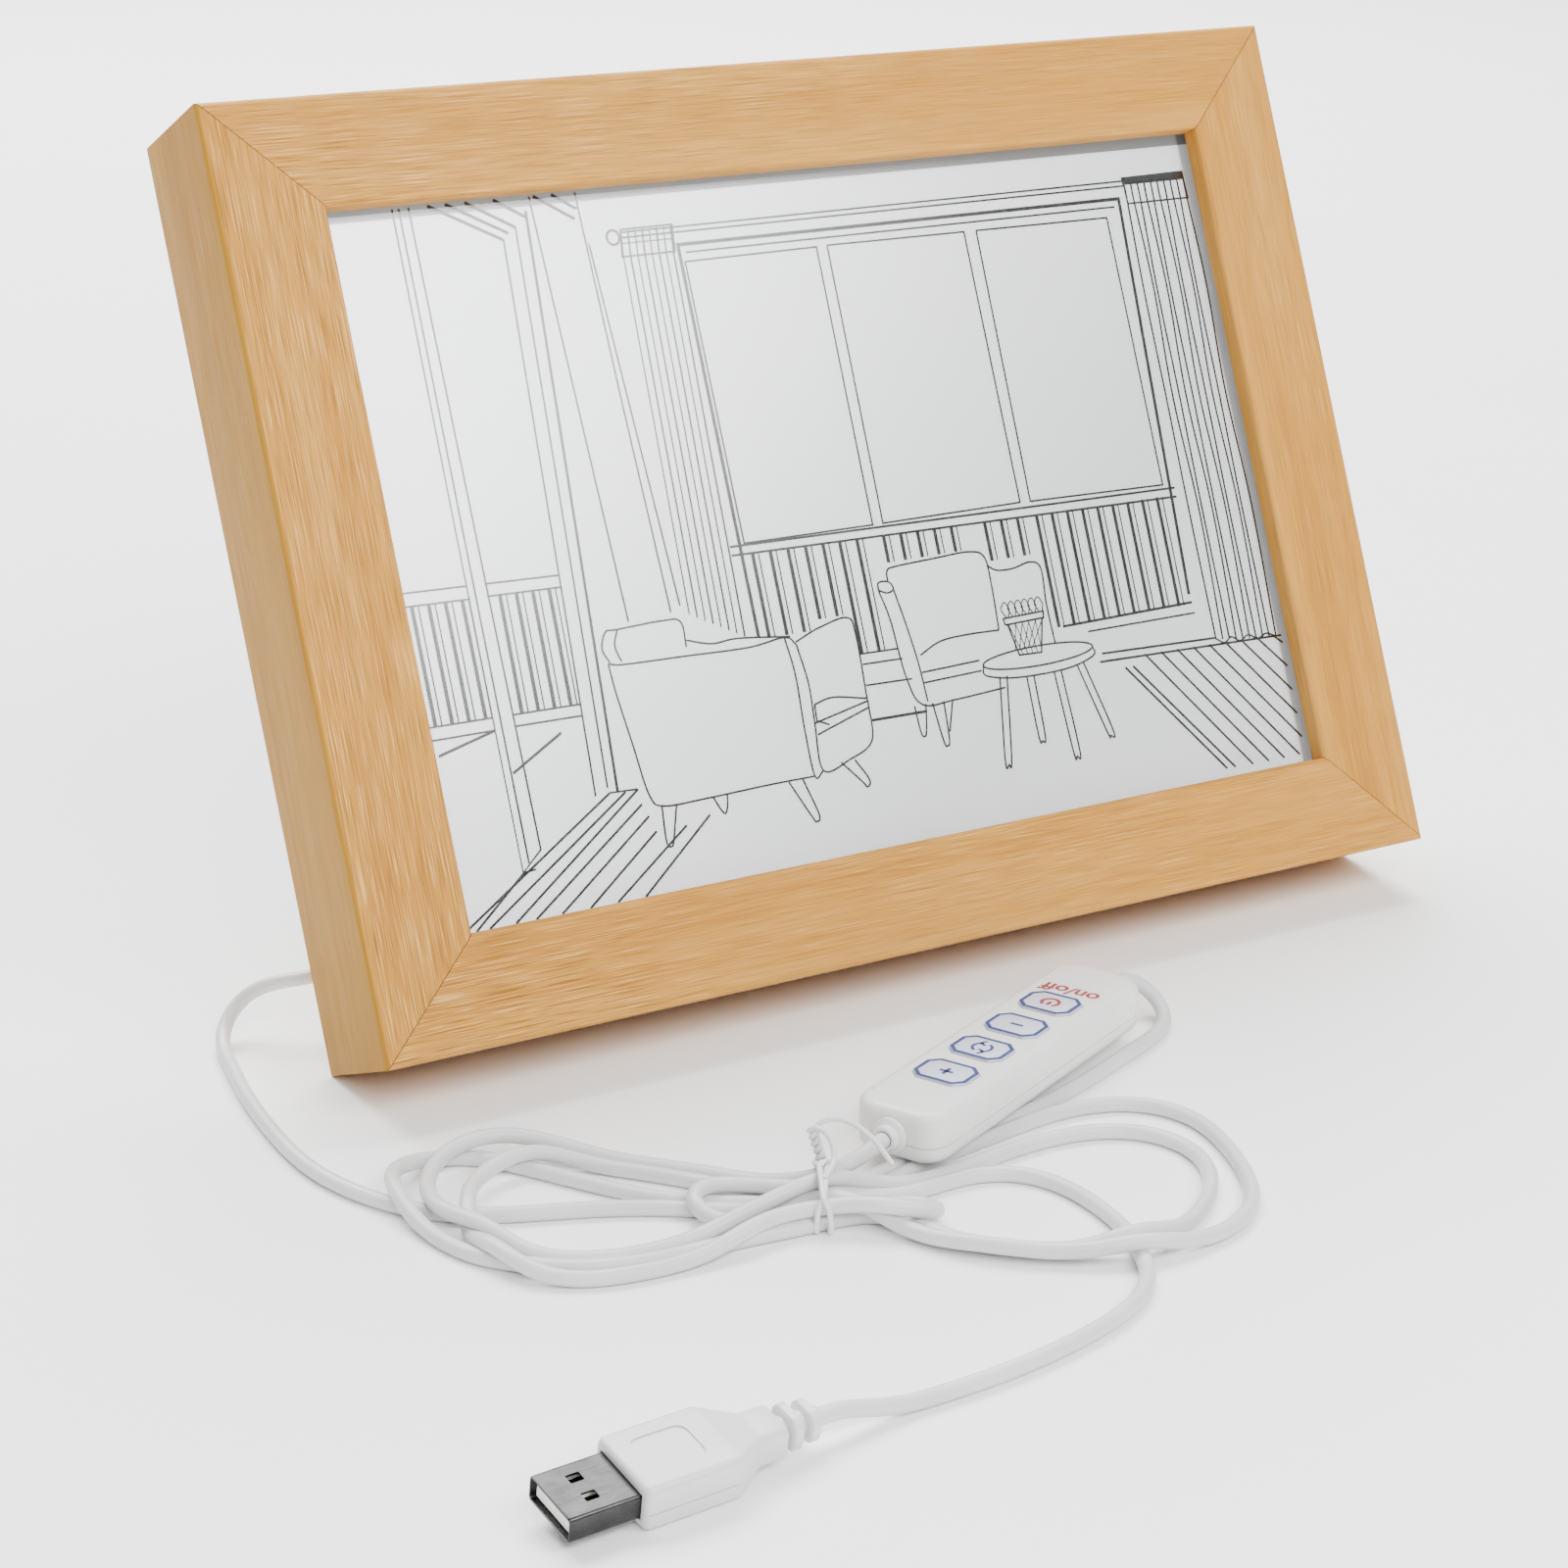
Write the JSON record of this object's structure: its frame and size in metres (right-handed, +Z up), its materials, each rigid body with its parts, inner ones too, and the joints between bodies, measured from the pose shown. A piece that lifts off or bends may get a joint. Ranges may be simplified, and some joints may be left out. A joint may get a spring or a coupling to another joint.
{
  "type": "picture frame light box",
  "caption": "Mitred picture frame that leans back on a hinged easel leg, with a lit picture panel behind a clear pane and a USB lead with an inline dimmer, hanked with a twist tie.",
  "frame": {"origin": "on the surface it stands on, under the middle of the standing box and its open leg", "axes": "+X to the viewer's right along the frame, +Y away from the viewer, +Z up"},
  "size_m": [0.2857, 0.2859, 0.183],
  "materials": {
    "black_plastic": "satin",
    "brass": "satin",
    "circuit_board": "satin",
    "clear_pane": "clear, glossy",
    "contact_gold": "polished",
    "cord_sheath": "satin",
    "foil_wood": "satin wood-grain foil over fibreboard",
    "hardboard": "smooth pressed fibre",
    "key_plastic": "satin",
    "led_board": "satin white",
    "opal_sheet": "satin",
    "printed_film": "matt, line drawing",
    "soft_rubber": "matt",
    "tie_wire": "satin",
    "white_plastic": "satin",
    "zinc_steel": "satin"
  },
  "bodies": {
    "light_box": {"frame_rail_bottom": "foil_wood", "frame_rail_top": "foil_wood", "frame_stile_left": "foil_wood", "frame_stile_right": "foil_wood", "front_pane": "clear_pane", "picture_film": "printed_film", "diffuser_panel": "opal_sheet", "spacer_frame": "white_plastic", "led_board": "led_board", "led_strip_1": "led_board", "led_strip_2": "led_board", "led_strip_3": "led_board", "led_strip_4": "led_board", "back_panel": "hardboard", "cable_grommet": "soft_rubber", "turn_screw_1": "brass", "turn_screw_2": "brass", "turn_screw_3": "brass", "turn_screw_4": "brass", "hinge_plate": "zinc_steel", "hinge_pin": "zinc_steel", "plate_rivet_1": "zinc_steel", "plate_rivet_2": "zinc_steel", "controller_upper_shell": "white_plastic", "controller_lower_shell": "white_plastic", "controller_board": "circuit_board", "switch_plus": "black_plastic", "switch_cycle": "black_plastic", "switch_minus": "black_plastic", "switch_power": "black_plastic", "controller_gland_out": "soft_rubber", "controller_gland_in": "soft_rubber", "cord_inlet": "cord_sheath", "plug_overmould": "white_plastic", "plug_shell": "zinc_steel", "plug_tongue": "opal_sheet", "plug_contact_1": "contact_gold", "plug_contact_2": "contact_gold", "plug_contact_3": "contact_gold", "plug_contact_4": "contact_gold", "cord_hank": "cord_sheath", "twist_tie": "tie_wire", "cord_lead": "cord_sheath", "cord_outlet": "cord_sheath", "cord_tail": "cord_sheath"},
    "leg": {"hinge_leaf": "zinc_steel", "easel_leg": "hardboard", "leaf_rivet_1": "zinc_steel", "leaf_rivet_2": "zinc_steel"},
    "turn_button_1": {"turn_button_1": "brass"},
    "turn_button_2": {"turn_button_2": "brass"},
    "turn_button_3": {"turn_button_3": "brass"},
    "turn_button_4": {"turn_button_4": "brass"},
    "key_plus": {"key_plus": "key_plastic"},
    "key_cycle": {"key_cycle": "key_plastic"},
    "key_minus": {"key_minus": "key_plastic"},
    "key_power": {"key_power": "key_plastic"}
  },
  "joints": [
    {"name": "leg_fold", "type": "hinge", "parent": "light_box", "child": "leg", "pos_m": [0, 0.01709, 0.12755], "axis": [1, 0, 0], "range_deg": [-45, 0]},
    {"name": "turn_1", "type": "hinge", "parent": "light_box", "child": "turn_button_1", "pos_m": [-0.118, -0.02341, 0.03873], "axis": [0, 0.9178, -0.3971], "continuous": true},
    {"name": "turn_2", "type": "hinge", "parent": "light_box", "child": "turn_button_2", "pos_m": [-0.118, 0.01694, 0.13197], "axis": [0, 0.9178, -0.3971], "continuous": true},
    {"name": "turn_3", "type": "hinge", "parent": "light_box", "child": "turn_button_3", "pos_m": [0.118, -0.02341, 0.03873], "axis": [0, 0.9178, -0.3971], "continuous": true},
    {"name": "turn_4", "type": "hinge", "parent": "light_box", "child": "turn_button_4", "pos_m": [0.118, 0.01694, 0.13197], "axis": [0, 0.9178, -0.3971], "continuous": true},
    {"name": "key_plus_press", "type": "slide", "parent": "light_box", "child": "key_plus", "axis": [0, 0, -1], "range_m": [0, 0.0005], "stiffness_N_per_m": 400, "springref_m": -0.0005},
    {"name": "key_cycle_press", "type": "slide", "parent": "light_box", "child": "key_cycle", "axis": [0, 0, -1], "range_m": [0, 0.0005], "stiffness_N_per_m": 400, "springref_m": -0.0005},
    {"name": "key_minus_press", "type": "slide", "parent": "light_box", "child": "key_minus", "axis": [0, 0, -1], "range_m": [0, 0.0005], "stiffness_N_per_m": 400, "springref_m": -0.0005},
    {"name": "key_power_press", "type": "slide", "parent": "light_box", "child": "key_power", "axis": [0, 0, -1], "range_m": [0, 0.0005], "stiffness_N_per_m": 400, "springref_m": -0.0005}
  ]
}
